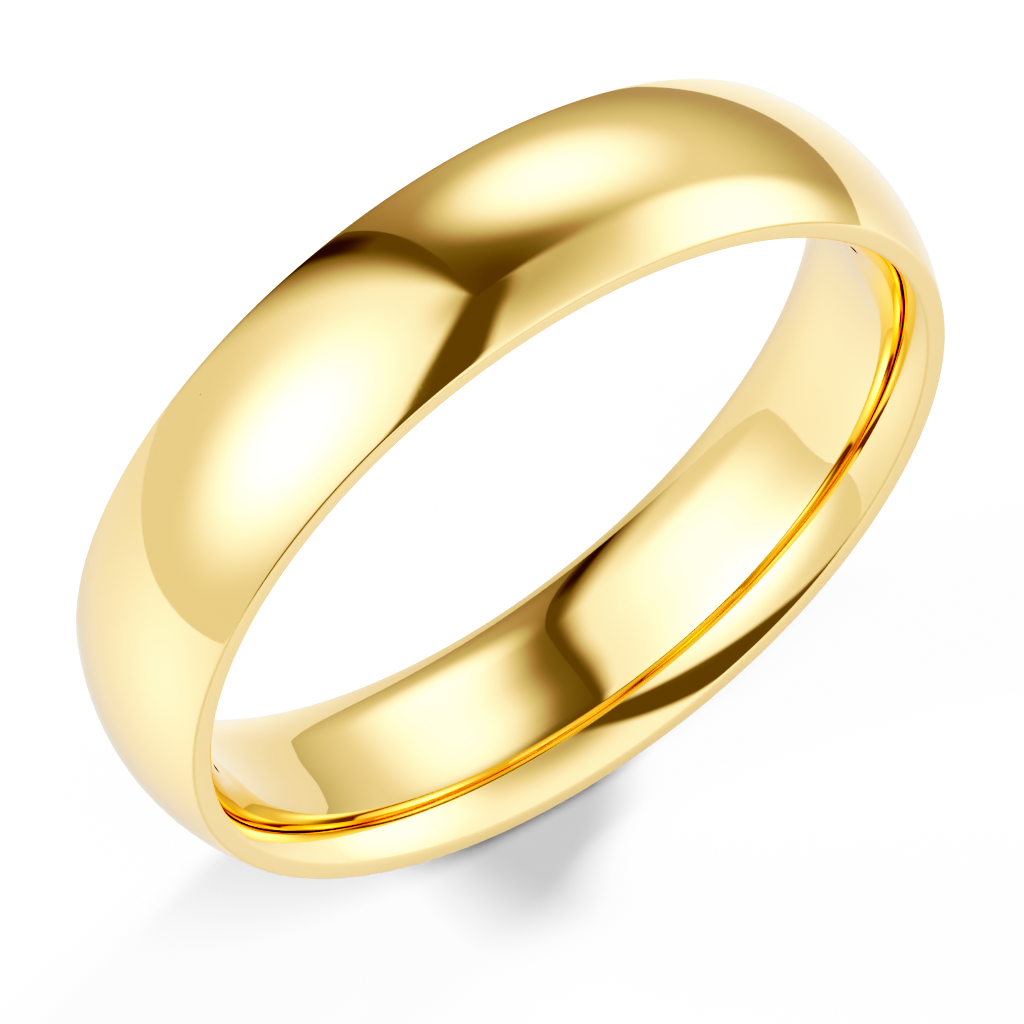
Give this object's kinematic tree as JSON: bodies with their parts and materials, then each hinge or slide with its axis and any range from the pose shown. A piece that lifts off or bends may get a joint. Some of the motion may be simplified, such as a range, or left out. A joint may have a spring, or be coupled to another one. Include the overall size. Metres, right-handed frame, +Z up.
{
  "type": "wedding band",
  "caption": "Plain polished yellow-gold wedding band, 5 mm wide, with a domed outside, narrow flat rims and a comfort-fit bore with rounded shoulders.",
  "frame": {"origin": "centre of the finger bore, midway between the two rim faces, where a finger or a peg holds the band; the lowest point of its dome is at z = -11.39 mm", "axes": "+Y along the bore from the front rim to the back rim, +Z up, +X across the bore"},
  "size_m": [0.0228, 0.005, 0.0228],
  "materials": {
    "yellow_gold": "polished"
  },
  "bodies": {
    "root": {"band": "yellow_gold"}
  },
  "joints": []
}
